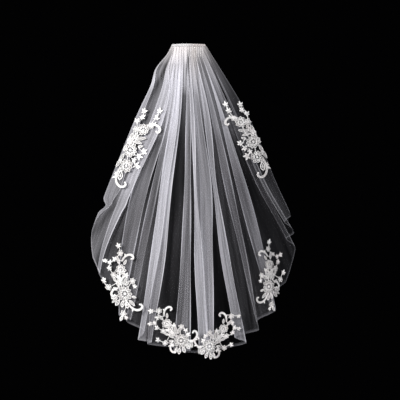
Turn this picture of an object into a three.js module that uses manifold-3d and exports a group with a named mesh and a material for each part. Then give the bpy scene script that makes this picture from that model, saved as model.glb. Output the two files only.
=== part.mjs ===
// A fingertip bridal veil of plain tulle with six lace sprays, hanging as it is worn.
// Millimetres, +Z up. The origin is the top middle of the gathered header, where the comb pins it on.
// The outer face of the veil looks along -Y and the wearer stands on the +Y side.

import * as THREE from 'three';
import { mergeVertices } from 'three/addons/utils/BufferGeometryUtils.js';
import Module from 'manifold-3d';

// Driving dimensions
const HEADER_WIDTH = 93.4;
const HEADER_HEIGHT = 8;
const HEADER_THICKNESS = 5.6;
const HEADER_ARCH = 1.6;
const HEADER_RIPPLE = 0.5;
const TULLE_WALL = 1.0;
const LACE_GAP = 3.4;
const PIECE_GAP = 0.3;
const COMB_WIDTH = 84;
const COMB_SPINE = 5;
const COMB_THICKNESS = 2.6;
const COMB_TEETH = 15;
const COMB_TOOTH_LENGTH = 36;
const COMB_TOOTH_WIDTH = 2.2;

// How the cloth hangs, a row for each height. down is the distance below the top of the header,
// middle is the Y of the cloth on the centre line, round is the radius that it bends to around
// the wearer, and depth is half the distance from the front of a fold to its back.
const HANG = [
  { down: 0, middle: 0, round: 140, depth: 2.2 },
  { down: 100, middle: -32, round: 180, depth: 6 },
  { down: 200, middle: -50, round: 215, depth: 8.5 },
  { down: 400, middle: -66, round: 245, depth: 10.5 },
  { down: 600, middle: -72, round: 290, depth: 12 },
  { down: 800, middle: -84, round: 350, depth: 13.5 },
  { down: 950, middle: -96, round: 400, depth: 14 },
];

// The lines along which the cloth turns, from its left edge to its right edge. The first turns
// at the front, the next at the back, and so on. Each row gives X at 200, 400, 600 and 800 down,
// and how far down the line meets the hem. At the header all lines are evenly spaced.
const LINE_STEP = 200;
const FOLD_COLUMNS = ['at200', 'at400', 'at600', 'at800', 'hem'];
const FOLD_LINES = [
  [-129, -190, -262, -325, 417],
  [-146, -228, -302, -362, 523],
  [-66, -152, -250, -271, 649],
  [-101, -183, -255, -276, 661],
  [-53, -111, -156, -192, 772],
  [-76, -156, -195, -200, 778],
  [-43, -84, -123, -167, 790],
  [-58, -103, -146, -179, 792],
  [-28, -56, -83, -122, 824],
  [-48, -80, -107, -137, 847],
  [-21, -46, -64, -96, 853],
  [-40, -73, -96, -113, 858],
  [7, 7, 7, 6, 876],
  [-7, -12, -21, -36, 878],
  [17, 23, 40, 55, 887],
  [6, 16, 17, 26, 887],
  [36, 65, 70, 72, 886],
  [19, 33, 37, 50, 884],
  [59, 81, 116, 154, 854],
  [42, 68, 91, 125, 840],
  [78, 124, 165, 199, 818],
  [63, 101, 148, 195, 798],
  [99, 165, 218, 257, 761],
  [88, 134, 189, 248, 747],
  [125, 211, 314, 383, 580],
  [113, 194, 300, 366, 563],
  [136, 222, 337, 406, 529],
  [129, 211, 326, 394, 514],
  [167, 254, 343, 417, 489],
];
const LAST_LINE = FOLD_LINES.length - 1;

// How round the cloth turns at a fold line, as a share of the depth of its fold, and how straight
// it runs out to its two cut edges
const TURN_ROUNDNESS = 0.9;
const EDGE_STRAIGHTNESS = 0.35;

// On the inside of a turn the wall is mitred, up to this reach and this share of the room there
const MITRE_REACH = 8;
const MITRE_SHARE = 0.7;

// The upper left corner of the cloth kinks outward just below the header.
const KINK = { down: 72, out: 13, reach: 34, lines: 2 };

// Mesh fineness of the cloth
const STEPS_PER_FOLD = 3;
const ROWS_DOWN = 10;
const CLOTH_TOP = HEADER_HEIGHT + PIECE_GAP;

// The lace bridges the folds: it follows their fronts within this reach, meaned over so many
// cells of this grid each way, and its longest edges are split so that it can bend
const LACE_REACH = 24;
const LACE_GRID = 8;
const LACE_MEAN = 7;
const LACE_EDGE = 30;

// Lace motifs, with X and Z from the main rosette, turn in degrees from +X, and size the radius of
// a flower or the length of a leaf, sprig or scroll. hand is the way that a scroll curls.
const CORNER_SPRAY = [
  { kind: 'rosette', x: 0, z: 0, turn: 0, size: 19 },
  { kind: 'leaf', x: -5, z: 14, turn: 104, size: 26 },
  { kind: 'leaf', x: -13, z: 12, turn: 138, size: 26 },
  { kind: 'leaf', x: 4, z: 14, turn: 72, size: 22 },
  { kind: 'blossom', x: -9, z: 44, turn: 20, size: 7.5 },
  { kind: 'blossom', x: -24, z: 51, turn: 50, size: 7.5 },
  { kind: 'rosette', x: -14, z: 74, turn: 30, size: 12.5 },
  { kind: 'sprig', x: -14, z: 84, turn: 100, size: 56 },
  { kind: 'sprig', x: -27, z: 60, turn: 122, size: 52 },
  { kind: 'sprig', x: -24, z: 24, turn: 150, size: 44 },
  { kind: 'scroll', x: -4, z: 82, turn: 75, size: 62, hand: -1 },
  { kind: 'scroll', x: -16, z: 10, turn: 165, size: 66, hand: 1 },
  { kind: 'leaf', x: -12, z: -8, turn: 205, size: 30 },
  { kind: 'leaf', x: -9, z: -12, turn: 228, size: 33 },
  { kind: 'leaf', x: 14, z: 8, turn: 32, size: 19 },
];
const SIDE_TAIL = [
  { kind: 'leaf', x: -2, z: -14, turn: 258, size: 30 },
  { kind: 'blossom', x: -8, z: -58, turn: 0, size: 8.5 },
  { kind: 'leaf', x: -9, z: -62, turn: 250, size: 15 },
  { kind: 'scroll', x: 6, z: -15, turn: -72, size: 92, hand: 1 },
];
const BOTTOM_TAIL = [
  { kind: 'leaf', x: -2, z: -14, turn: 250, size: 28 },
  { kind: 'leaf', x: 6, z: -14, turn: 280, size: 28 },
  { kind: 'leaf', x: 13, z: -8, turn: 312, size: 26 },
  { kind: 'scroll', x: 12, z: -9, turn: -28, size: 56, hand: 1 },
];
const TALL_SPRAY = [
  { kind: 'rosette', x: 0, z: 0, turn: 0, size: 17 },
  { kind: 'rosette', x: 7, z: -40, turn: 36, size: 16.5 },
  { kind: 'blossom', x: -11, z: 25, turn: 10, size: 8 },
  { kind: 'blossom', x: -22, z: 38, turn: 40, size: 8 },
  { kind: 'rosette', x: -39, z: 57, turn: 15, size: 15 },
  { kind: 'leaf', x: -8, z: 11, turn: 152, size: 38 },
  { kind: 'leaf', x: -13, z: 3, turn: 172, size: 30 },
  { kind: 'sprig', x: -32, z: 67, turn: 96, size: 50 },
  { kind: 'blossom', x: -14, z: 66, turn: 0, size: 8 },
  { kind: 'blossom', x: -14, z: 84, turn: 30, size: 6.5 },
  { kind: 'scroll', x: -50, z: 64, turn: 150, size: 60, hand: 1 },
  { kind: 'sprig', x: -58, z: 72, turn: 128, size: 52 },
  { kind: 'sprig', x: -6, z: -26, turn: 158, size: 46 },
  { kind: 'leaf', x: -6, z: -44, turn: 190, size: 28 },
  { kind: 'leaf', x: 16, z: -52, turn: 282, size: 30 },
  { kind: 'leaf', x: 18, z: -12, turn: 62, size: 20 },
  { kind: 'scroll', x: 20, z: -46, turn: -42, size: 98, hand: -1 },
];

const SIDE_SPRAY = [...CORNER_SPRAY, ...SIDE_TAIL];
const BOTTOM_SPRAY = [...CORNER_SPRAY, ...BOTTOM_TAIL];

// Where each spray lies, seen from outside: the place of its main rosette, the way that the whole
// spray is turned in degrees, and its width and height as shares of the pattern. A width below
// zero mirrors it.
const SPRAYS = [
  { name: 'lace_upper_left', rows: TALL_SPRAY, x: -170, z: -305, turn: 0, wide: -1.06, tall: 1.04 },
  { name: 'lace_upper_right', rows: TALL_SPRAY, x: 189, z: -281, turn: 0, wide: 1, tall: 1 },
  { name: 'lace_side_left', rows: SIDE_SPRAY, x: -182, z: -716, turn: 0, wide: 1, tall: 1 },
  { name: 'lace_side_right', rows: SIDE_SPRAY, x: 231, z: -698, turn: 6, wide: -0.84, tall: 0.92 },
  { name: 'lace_bottom_left', rows: BOTTOM_SPRAY, x: -18, z: -851, turn: 30, wide: 0.92, tall: 0.9 },
  { name: 'lace_bottom_right', rows: BOTTOM_SPRAY, x: 65, z: -868, turn: -30, wide: -0.84, tall: 0.9 },
];

// Heights of the lace relief above the tulle
const RELIEF = { stem: 1.1, leaf: 1.3, scroll: 1.6, blossom: 1.9, rosette: 1.5, eye: 3.2 };
const STEM_WIDTH = 2.2;
const SCROLL_WIDTH = 3.4;

// Where a stem leaves a flower, as a share of its radius
const RIM = { rosette: 0.68, blossom: 0.2 };

// A motif that starts nearer to a flower than this share of its radius needs no stem
const REACH_OF_FLOWER = 0.85;

const wasm = await Module();
wasm.setup();

// Materials
const tulle = new THREE.MeshStandardMaterial({ color: 0xf4f3f7, roughness: 0.8, metalness: 0 });
const band = new THREE.MeshStandardMaterial({ color: 0xf3ece8, roughness: 0.75, metalness: 0 });
const lace = new THREE.MeshStandardMaterial({ color: 0xfbfaf5, roughness: 0.7, metalness: 0 });
const comb = new THREE.MeshStandardMaterial({ color: 0xe9e6df, roughness: 0.3, metalness: 0 });

// Smooth curve through two values with a slope at each, for t from 0 to 1
function hermite(a, b, slopeA, slopeB, t) {
  const t2 = t * t;
  const t3 = t2 * t;
  return (2 * t3 - 3 * t2 + 1) * a + (t3 - 2 * t2 + t) * slopeA
    + (3 * t2 - 2 * t3) * b + (t3 - t2) * slopeB;
}

// One column of a table of rows, read smoothly at a height
function smoothColumn(rows, column, down) {
  const last = rows.length - 1;
  let k = 0;
  while (k < last - 1 && down > rows[k + 1].down) k += 1;
  const before = rows[Math.max(k - 1, 0)];
  const here = rows[k];
  const next = rows[k + 1];
  const after = rows[Math.min(k + 2, last)];
  const span = next.down - here.down;
  const slopeHere = (next[column] - before[column]) / (next.down - before.down) * span;
  const slopeNext = (after[column] - here[column]) / (after.down - here.down) * span;
  return hermite(here[column], next[column], slopeHere, slopeNext, (down - here.down) / span);
}

// X of a fold line at a height, with the even spacing of the header at its top
function foldLineX(line, down) {
  const evenTop = HEADER_WIDTH * (line / LAST_LINE - 0.5);
  const values = [evenTop, ...FOLD_LINES[line].slice(0, FOLD_COLUMNS.indexOf('hem'))];
  const last = values.length - 1;
  const k = Math.min(Math.floor(down / LINE_STEP), last - 1);
  const t = down / LINE_STEP - k;
  const beyond = values[last] - values[last - 1];
  const slopeHere = (values[k + 1] - values[Math.max(k - 1, 0)]) / (k > 0 ? 2 : 1);
  const slopeNext = k + 2 <= last ? (values[k + 2] - values[k]) / 2 : beyond;
  const x = t > 1 ? values[last] + beyond * (t - 1)
    : hermite(values[k], values[k + 1], slopeHere, slopeNext, t);
  const kink = line < KINK.lines ? KINK.out * Math.exp(-(((down - KINK.down) / KINK.reach) ** 2)) : 0;
  return x - kink;
}

// The smooth bell that the cloth is folded about
function bellY(x, down) {
  return smoothColumn(HANG, 'middle', down) + x * x / (2 * smoothColumn(HANG, 'round', down));
}

// A point of a fold line, at the front for even lines and at the back for odd ones
function foldPoint(line, down) {
  const x = foldLineX(line, down);
  const side = line % 2 === 0 ? -1 : 1;
  return { x, y: bellY(x, down) + side * smoothColumn(HANG, 'depth', down) };
}

// How the cloth runs through a fold line: straight back round a turn, straight out at a cut edge
function lineSlope(line, down) {
  if (line > 0 && line < LAST_LINE) {
    return { x: 0, y: TURN_ROUNDNESS * smoothColumn(HANG, 'depth', down) };
  }
  const from = foldPoint(line === 0 ? 0 : line - 1, down);
  const to = foldPoint(line === 0 ? 1 : line, down);
  return { x: EDGE_STRAIGHTNESS * (to.x - from.x), y: EDGE_STRAIGHTNESS * (to.y - from.y) };
}

// A point of the cloth: across counts fold lines from the left edge, down is the height
function clothPoint(across, down) {
  const line = Math.min(Math.floor(across), LAST_LINE - 1);
  const t = across - line;
  const here = foldPoint(line, down);
  const next = foldPoint(line + 1, down);
  const slopeHere = lineSlope(line, down);
  const slopeNext = lineSlope(line + 1, down);
  const along = (axis) => hermite(here[axis], next[axis], slopeHere[axis], slopeNext[axis], t);
  return new THREE.Vector3(along('x'), along('y'), -down);
}

// How far down the hem is, between two fold lines
function hemDown(across) {
  const line = Math.min(Math.floor(across), LAST_LINE - 1);
  const t = across - line;
  const hem = FOLD_COLUMNS.indexOf('hem');
  return FOLD_LINES[line][hem] * (1 - t) + FOLD_LINES[line + 1][hem] * t;
}

// A geometry from plain lists of coordinates and corners
function geometryFrom(positions, indices) {
  const geometry = new THREE.BufferGeometry();
  geometry.setAttribute('position', new THREE.Float32BufferAttribute(positions, 3));
  geometry.setIndex(indices);
  geometry.computeVertexNormals();
  return geometry;
}

// A point of the cloth's grid: column c counts from the left edge and row r from the header
function gridPoint(c, r) {
  const across = c / STEPS_PER_FOLD;
  return clothPoint(across, CLOTH_TOP + (hemDown(across) - CLOTH_TOP) * r / ROWS_DOWN);
}

// A point of the cloth moved level by half the wall to one side, between its two neighbours
function wallPoint(left, point, right, side) {
  const before = new THREE.Vector2(point.x - left.x, point.y - left.y);
  const after = new THREE.Vector2(right.x - point.x, right.y - point.y);
  if (before.length() === 0) before.copy(after);
  if (after.length() === 0) after.copy(before);
  const room = MITRE_SHARE * Math.min(before.length(), after.length());
  const inside = side * before.cross(after) > 0;
  const sum = before.normalize().add(after.normalize());
  const half = TULLE_WALL / 2;
  const mitre = Math.min(2 * half / sum.length(), MITRE_REACH, Math.max(room, half));
  const share = side * (inside ? mitre : half) / sum.length();
  return [point.x - share * sum.y, point.y + share * sum.x, point.z];
}

// The tulle as a thin wall: the grid of the cloth, moved out and in by half the wall
function tulleGeometry() {
  const columns = LAST_LINE * STEPS_PER_FOLD + 1;
  const rows = ROWS_DOWN + 1;
  const positions = [];
  for (const side of [-1, 1]) {
    for (let c = 0; c < columns; c += 1) {
      for (let r = 0; r < rows; r += 1) {
        const point = gridPoint(c, r);
        const left = clothPoint(Math.max(c - 1, 0) / STEPS_PER_FOLD, -point.z);
        const right = clothPoint(Math.min(c + 1, columns - 1) / STEPS_PER_FOLD, -point.z);
        positions.push(...wallPoint(left, point, right, side));
      }
    }
  }
  const outer = (c, r) => c * rows + r;
  const inner = (c, r) => columns * rows + c * rows + r;
  const indices = [];
  const quad = (a, b, c, d) => indices.push(a, b, c, a, c, d);
  for (let c = 0; c < columns - 1; c += 1) {
    for (let r = 0; r < rows - 1; r += 1) {
      quad(outer(c, r + 1), outer(c + 1, r + 1), outer(c + 1, r), outer(c, r));
      quad(inner(c + 1, r), inner(c + 1, r + 1), inner(c, r + 1), inner(c, r));
    }
    quad(outer(c, 0), outer(c + 1, 0), inner(c + 1, 0), inner(c, 0));
    quad(inner(c, rows - 1), inner(c + 1, rows - 1), outer(c + 1, rows - 1), outer(c, rows - 1));
  }
  for (let r = 0; r < rows - 1; r += 1) {
    quad(outer(0, r + 1), outer(0, r), inner(0, r), inner(0, r + 1));
    const last = columns - 1;
    quad(outer(last, r), outer(last, r + 1), inner(last, r + 1), inner(last, r));
  }
  return geometryFrom(positions, indices);
}

// An outline in X and Y raised to a height along +Z, with holes cut through
function raised(outline, height, holes = []) {
  const shape = new THREE.Shape(outline);
  for (const hole of holes) shape.holes.push(new THREE.Path(hole));
  return new THREE.ExtrudeGeometry(shape, { depth: height, bevelEnabled: false });
}

// The gathered header: a band with a ripple for each gather, bent to the head, with an arched top
function headerGeometry() {
  const half = HEADER_WIDTH / 2;
  const steps = LAST_LINE;
  const edge = (k, side) => {
    const x = HEADER_WIDTH * (k / steps - 0.5);
    const ripple = k % 2 === 0 ? 0 : HEADER_RIPPLE;
    return new THREE.Vector2(x, bellY(x, 0) + side * (HEADER_THICKNESS / 2 - ripple));
  };
  const outline = [];
  for (let k = 0; k <= steps; k += 1) outline.push(edge(k, -1));
  for (let k = steps; k >= 0; k -= 1) outline.push(edge(k, 1));
  const geometry = raised(outline, HEADER_HEIGHT);
  geometry.translate(0, 0, -HEADER_HEIGHT);
  const position = geometry.attributes.position;
  for (let k = 0; k < position.count; k += 1) {
    if (position.getZ(k) > -HEADER_HEIGHT / 2) {
      position.setZ(k, -HEADER_ARCH * (position.getX(k) / half) ** 2);
    }
  }
  return closedSurface(geometry);
}

// Shared vertices and normals anew, after points were moved or joined
function closedSurface(geometry) {
  geometry.deleteAttribute('normal');
  geometry.deleteAttribute('uv');
  const merged = mergeVertices(geometry, 1e-4);
  merged.computeVertexNormals();
  return merged;
}

// A closed geometry as a solid that can be joined
function toSolid(geometry) {
  const merged = closedSurface(geometry);
  return new wasm.Manifold(new wasm.Mesh({
    numProp: 3,
    vertProperties: new Float32Array(merged.attributes.position.array),
    triVerts: new Uint32Array(merged.index.array),
  }));
}

// Closed geometries joined into one body, with no edge over a length, as positions and indices
function joinAll(geometries, longestEdge) {
  let solid = toSolid(geometries[0]);
  for (const geometry of geometries.slice(1)) solid = solid.add(toSolid(geometry));
  const mesh = solid.refineToLength(longestEdge).getMesh();
  return { positions: Array.from(mesh.vertProperties), indices: Array.from(mesh.triVerts) };
}

// The comb behind the header: a spine bent to the head and a row of tapered teeth pointing down
function combGeometry() {
  const front = HEADER_THICKNESS / 2 + PIECE_GAP;
  const spineSteps = 12;
  const spineTop = -2.5;
  const toothTip = 0.45;
  const outline = [];
  for (let k = 0; k <= spineSteps; k += 1) {
    const x = COMB_WIDTH * (k / spineSteps - 0.5);
    outline.push(new THREE.Vector2(x, bellY(x, 0) + front));
  }
  for (let k = spineSteps; k >= 0; k -= 1) {
    const x = COMB_WIDTH * (k / spineSteps - 0.5);
    outline.push(new THREE.Vector2(x, bellY(x, 0) + front + COMB_THICKNESS));
  }
  const spine = raised(outline, COMB_SPINE);
  spine.translate(0, 0, spineTop - COMB_SPINE);
  const pieces = [spine];
  const pitch = (COMB_WIDTH - COMB_TOOTH_WIDTH) / (COMB_TEETH - 1);
  for (let k = 0; k < COMB_TEETH; k += 1) {
    const x = (k - (COMB_TEETH - 1) / 2) * pitch;
    const tooth = new THREE.CylinderGeometry(COMB_TOOTH_WIDTH / 2, COMB_TOOTH_WIDTH / 2 * toothTip,
      COMB_TOOTH_LENGTH, 4);
    tooth.rotateX(Math.PI / 2);
    tooth.translate(x, bellY(x, 0) + front + COMB_THICKNESS / 2, spineTop - 1 - COMB_TOOTH_LENGTH / 2);
    pieces.push(tooth);
  }
  const joined = joinAll(pieces, COMB_WIDTH);
  return geometryFrom(joined.positions, joined.indices);
}

// Outline of a flower: petals round a middle, as points on a waved circle
function flowerOutline(radius, petals, pointsPerPetal, notch) {
  const points = [];
  const count = petals * pointsPerPetal;
  for (let k = 0; k < count; k += 1) {
    const angle = 2 * Math.PI * k / count;
    const wave = k % pointsPerPetal === 0 ? notch : 1;
    points.push([radius * wave * Math.cos(angle), radius * wave * Math.sin(angle)]);
  }
  return points;
}

// Outline of a pointed leaf along +X, with its heel a little behind the origin
function leafOutline(length, width) {
  const heel = 1.5;
  return [[-heel, 0], [length * 0.45, -width / 2], [length, 0], [length * 0.45, width / 2]];
}

// Middle line of a scroll: it starts along +X and curls tighter and tighter
function scrollPath(length, hand) {
  const steps = 8;
  const startCurl = 0.25;
  const endCurl = 1.15;
  const path = [{ x: 0, z: 0, heading: 0 }];
  for (let k = 0; k < steps; k += 1) {
    const last = path[k];
    const share = k / (steps - 1);
    const heading = last.heading + hand * (startCurl + (endCurl - startCurl) * share * share);
    const step = length / steps * (1.25 - 0.62 * share);
    const middle = (last.heading + heading) / 2;
    path.push({ x: last.x + step * Math.cos(middle), z: last.z + step * Math.sin(middle), heading });
  }
  return path;
}

// Outline of a scroll, which grows wider towards its curled end
function scrollOutline(length, hand) {
  const path = scrollPath(length, hand);
  const left = [];
  const right = [];
  path.forEach((point, k) => {
    const half = SCROLL_WIDTH / 2 * (0.6 + 0.6 * k / (path.length - 1));
    left.push([point.x - half * Math.sin(point.heading), point.z + half * Math.cos(point.heading)]);
    right.push([point.x + half * Math.sin(point.heading), point.z - half * Math.cos(point.heading)]);
  });
  return [...right, ...left.reverse()];
}

// A bar from a flower's rim to a point and a little past it
function barOutline(from, to, width, rim) {
  const length = Math.hypot(to[0] - from[0], to[1] - from[1]);
  const along = [(to[0] - from[0]) / length, (to[1] - from[1]) / length];
  const corner = (distance, side) => [from[0] + along[0] * distance - along[1] * side,
    from[1] + along[1] * distance + along[0] * side];
  const past = length + width / 2;
  const side = width / 2;
  return [corner(rim, side), corner(rim, -side), corner(past, -side), corner(past, side)];
}

// A function that turns a point by an angle and moves it to a start
function turnedTo(start, angle) {
  return ([x, z]) => [start[0] + x * Math.cos(angle) - z * Math.sin(angle),
    start[1] + x * Math.sin(angle) + z * Math.cos(angle)];
}

// Outlines of one motif about its own base, each with its relief height and holes
function motifShapes(motif) {
  const { kind, size } = motif;
  if (kind === 'rosette') {
    const petals = 5;
    const gap = [[size * 0.4, 0], [size * 0.66, -size * 0.13], [size * 0.66, size * 0.13]];
    const holes = [];
    for (let k = 0; k < petals; k += 1) {
      holes.push(gap.map(turnedTo([0, 0], 2 * Math.PI * (k + 0.5) / petals)));
    }
    return [
      { outline: flowerOutline(size, petals, 2, 0.82), height: RELIEF.rosette, holes },
      { outline: flowerOutline(size * 0.3, 5, 1, 1), height: RELIEF.eye, holes: [] },
    ];
  }
  if (kind === 'blossom') {
    return [{ outline: flowerOutline(size, 4, 2, 0.55), height: RELIEF.blossom, holes: [] }];
  }
  if (kind === 'leaf') {
    return [{ outline: leafOutline(size, size * 0.34), height: RELIEF.leaf, holes: [] }];
  }
  if (kind === 'scroll') {
    return [{ outline: scrollOutline(size, motif.hand), height: RELIEF.scroll, holes: [] }];
  }
  const bud = flowerOutline(size * 0.14, 6, 1, 1).map(([x, z]) => [x + size * 0.87, z]);
  const shapes = [
    { outline: barOutline([0, 0], [size * 0.8, 0], STEM_WIDTH, 0), height: RELIEF.stem, holes: [] },
    { outline: bud, height: RELIEF.blossom, holes: [] },
  ];
  for (const side of [-1, 1]) {
    const leaf = leafOutline(size * 0.34, size * 0.17);
    const start = [size * (0.5 + 0.06 * side), 0];
    shapes.push({ outline: leaf.map(turnedTo(start, side * 0.95)), height: RELIEF.leaf, holes: [] });
  }
  return shapes;
}

// A spray as flat solids in the plane of the pattern, all joined. Each motif is tied by a stem to
// the nearest motif before it.
function spraySolid(spray) {
  const turn = THREE.MathUtils.degToRad(spray.turn);
  const place = ([x, z]) => {
    const px = x * spray.wide;
    const pz = z * spray.tall;
    return new THREE.Vector2(spray.x + px * Math.cos(turn) - pz * Math.sin(turn),
      spray.z + px * Math.sin(turn) + pz * Math.cos(turn));
  };
  const pieces = [];
  const loop = (points) => {
    const placed = points.map(place);
    return THREE.ShapeUtils.isClockWise(placed) ? placed.reverse() : placed;
  };
  const add = (outline, height, holes) => pieces.push(raised(loop(outline), height, holes.map(loop)));
  spray.rows.forEach((motif, k) => {
    const spot = turnedTo([motif.x, motif.z], THREE.MathUtils.degToRad(motif.turn));
    for (const part of motifShapes(motif)) {
      add(part.outline.map(spot), part.height, part.holes.map((hole) => hole.map(spot)));
    }
    const distance = (other) => Math.hypot(other.x - motif.x, other.z - motif.z);
    const earlier = spray.rows.slice(0, k).filter((other) => other.kind in RIM);
    const [nearest] = earlier.sort((a, b) => distance(a) - distance(b));
    if (nearest && distance(nearest) > nearest.size * REACH_OF_FLOWER) {
      const rim = nearest.size * RIM[nearest.kind];
      add(barOutline([nearest.x, nearest.z], [motif.x, motif.z], STEM_WIDTH, rim), RELIEF.stem, []);
    }
  });
  return joinAll(pieces, LACE_EDGE);
}

// The points at which one height cuts the columns of the cloth's grid
function clothCut(down) {
  const cut = [];
  for (let c = 0; c <= LAST_LINE * STEPS_PER_FOLD; c += 1) {
    const share = (down - CLOTH_TOP) / (hemDown(c / STEPS_PER_FOLD) - CLOTH_TOP) * ROWS_DOWN;
    const r = Math.min(Math.max(Math.floor(share), 0), ROWS_DOWN);
    cut.push(gridPoint(c, r).lerp(gridPoint(c, r + 1), share - r));
  }
  return cut;
}

// How far the frontmost fold near a place stands in front of the bell
function foldFront(x, down, cut) {
  let front = 0;
  for (let c = 0; c < cut.length - 1; c += 1) {
    const [a, b] = cut[c].x < cut[c + 1].x ? [cut[c], cut[c + 1]] : [cut[c + 1], cut[c]];
    const from = Math.max(a.x, x - LACE_REACH);
    const to = Math.min(b.x, x + LACE_REACH);
    if (from > to) continue;
    for (const spot of [from, to]) {
      const t = (spot - a.x) / Math.max(b.x - a.x, 1e-6);
      front = Math.min(front, a.y + (b.y - a.y) * t - bellY(spot, down));
    }
  }
  return front;
}

const cuts = new Map();
const fronts = new Map();

// foldFront kept on a grid of places, so that its smooth mean is quick
function frontOnGrid(i, j) {
  const key = `${i},${j}`;
  if (!cuts.has(j)) cuts.set(j, clothCut(j * LACE_GRID));
  if (!fronts.has(key)) fronts.set(key, foldFront(i * LACE_GRID, j * LACE_GRID, cuts.get(j)));
  return fronts.get(key);
}

// Y of the surface that the lace lies on: the mean front of the folds, just clear of the tulle
function laceSeat(x, z) {
  const u = x / LACE_GRID;
  const v = -z / LACE_GRID;
  let total = 0;
  let weight = 0;
  for (let i = Math.ceil(u - LACE_MEAN); i < u + LACE_MEAN; i += 1) {
    for (let j = Math.ceil(v - LACE_MEAN); j < v + LACE_MEAN; j += 1) {
      const share = (LACE_MEAN - Math.abs(u - i)) * (LACE_MEAN - Math.abs(v - j));
      total += share * frontOnGrid(i, j);
      weight += share;
    }
  }
  return bellY(x, -z) + total / weight - TULLE_WALL / 2 - LACE_GAP;
}

// A spray laid on the folds: flat X and Y become X and Z, and its height stands out along -Y
function sprayGeometry(spray) {
  const flat = spraySolid(spray);
  const positions = [];
  for (let k = 0; k < flat.positions.length; k += 3) {
    const [x, z, height] = flat.positions.slice(k, k + 3);
    positions.push(x, laceSeat(x, z) - height, z);
  }
  return geometryFrom(positions, flat.indices);
}

function piece(name, geometry, material) {
  const mesh = new THREE.Mesh(geometry, material);
  mesh.name = name;
  return mesh;
}

const veil = new THREE.Group();
veil.add(piece('hair_comb', combGeometry(), comb));
veil.add(piece('gathered_header', headerGeometry(), band));
veil.add(piece('tulle_veil', tulleGeometry(), tulle));
for (const spray of SPRAYS) veil.add(piece(spray.name, sprayGeometry(spray), lace));

export default veil;
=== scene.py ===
# A fingertip bridal veil of plain tulle with six lace sprays, dressed for rendering.
# Lengths in the tables are in millimetres and become metres where the meshes are made.
# The outer face of the veil looks along -Y, and down is the distance below the header's top.

import math

import bpy
import numpy as np
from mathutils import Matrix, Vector


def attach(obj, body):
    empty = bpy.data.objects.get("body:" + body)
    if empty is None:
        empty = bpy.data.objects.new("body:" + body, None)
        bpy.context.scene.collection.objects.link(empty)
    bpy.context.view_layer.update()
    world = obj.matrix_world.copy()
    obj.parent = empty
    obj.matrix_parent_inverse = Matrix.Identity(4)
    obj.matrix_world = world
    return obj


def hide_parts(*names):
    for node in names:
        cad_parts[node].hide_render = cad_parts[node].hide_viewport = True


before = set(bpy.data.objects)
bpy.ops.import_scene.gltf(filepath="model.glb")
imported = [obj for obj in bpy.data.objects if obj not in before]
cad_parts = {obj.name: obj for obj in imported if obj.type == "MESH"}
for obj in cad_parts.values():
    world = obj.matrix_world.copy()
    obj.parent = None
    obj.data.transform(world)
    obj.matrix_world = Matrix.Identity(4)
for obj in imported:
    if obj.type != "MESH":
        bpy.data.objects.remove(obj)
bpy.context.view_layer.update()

MM = 0.001
HUNDREDTHS = 100
TINY = 1e-9

# Gathered header and comb, as in the CAD part
HEADER_WIDTH = 93.4
HEADER_HEIGHT = 8.0
HEADER_THICKNESS = 5.6
HEADER_ARCH = 1.6
PIECE_GAP = 0.3
COMB_WIDTH = 84.0
COMB_SPINE = 5.0
COMB_THICKNESS = 2.6
COMB_TEETH = 15
COMB_TOOTH_LENGTH = 36.0
COMB_TOOTH_WIDTH = 2.2
COMB_TOP = -2.5

# How the cloth hangs at each distance down: Y on the centre line, radius of the bend around the
# wearer, and half the depth of the folds
HANG_DOWN = [0, 100, 200, 400, 600, 800, 950]
HANG_MIDDLE = [0, -32, -50, -66, -72, -84, -96]
HANG_ROUND = [140, 180, 215, 245, 290, 350, 400]
HANG_DEPTH = [0.5, 2.2, 7.5, 10.5, 12, 13.5, 14]

# Fold lines from the left edge to the right edge: X at 200, 400, 600 and 800 down, and how far
# down the line meets the hem. Even rows turn at the front and odd rows at the back.
LINE_STEP = 200.0
FOLD_LINES = [
    [-129, -190, -262, -325, 417],
    [-146, -228, -302, -362, 523],
    [-66, -152, -240, -271, 662],
    [-101, -183, -253, -276, 642],
    [-53, -111, -156, -192, 772],
    [-76, -156, -195, -200, 778],
    [-43, -84, -123, -167, 790],
    [-58, -103, -146, -179, 792],
    [-28, -56, -83, -122, 824],
    [-48, -80, -107, -137, 847],
    [-21, -46, -64, -96, 853],
    [-40, -73, -96, -113, 858],
    [7, 7, 7, 6, 876],
    [-7, -12, -21, -36, 878],
    [17, 23, 40, 55, 887],
    [6, 16, 17, 26, 887],
    [36, 65, 70, 72, 886],
    [19, 33, 37, 50, 884],
    [59, 81, 116, 154, 854],
    [42, 68, 91, 125, 840],
    [78, 124, 165, 199, 818],
    [63, 101, 148, 195, 798],
    [99, 165, 218, 257, 761],
    [88, 134, 189, 248, 747],
    [125, 211, 314, 383, 580],
    [113, 194, 300, 366, 563],
    [136, 222, 337, 406, 529],
    [129, 211, 326, 394, 514],
    [167, 254, 343, 417, 478],
]
LAST_LINE = len(FOLD_LINES) - 1
GATHER_STRAY = 1.1
STRAY_TURN = 2.4
TURN_ROUNDNESS = 0.9
EDGE_STRAIGHTNESS = 0.35

# Kinks of the left edge: how far down, how far out, reach, and share of it for the first lines
KINKS = [
    [72.0, 13.0, 34.0, [1.0, 1.0, 0.6, 0.4, 0.2]],
    [464.0, -15.0, 13.0, [0.2, 1.0, 0.15]],
]

# Places between two fold lines where the hem bends: across, counted in fold lines, and down
HEM_BENDS = [
    [1.25, 568], [1.5, 614], [1.8, 650],
    [23.5, 684], [23.7, 628], [23.82, 602], [25.86, 543], [27.85, 495],
]

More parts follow.
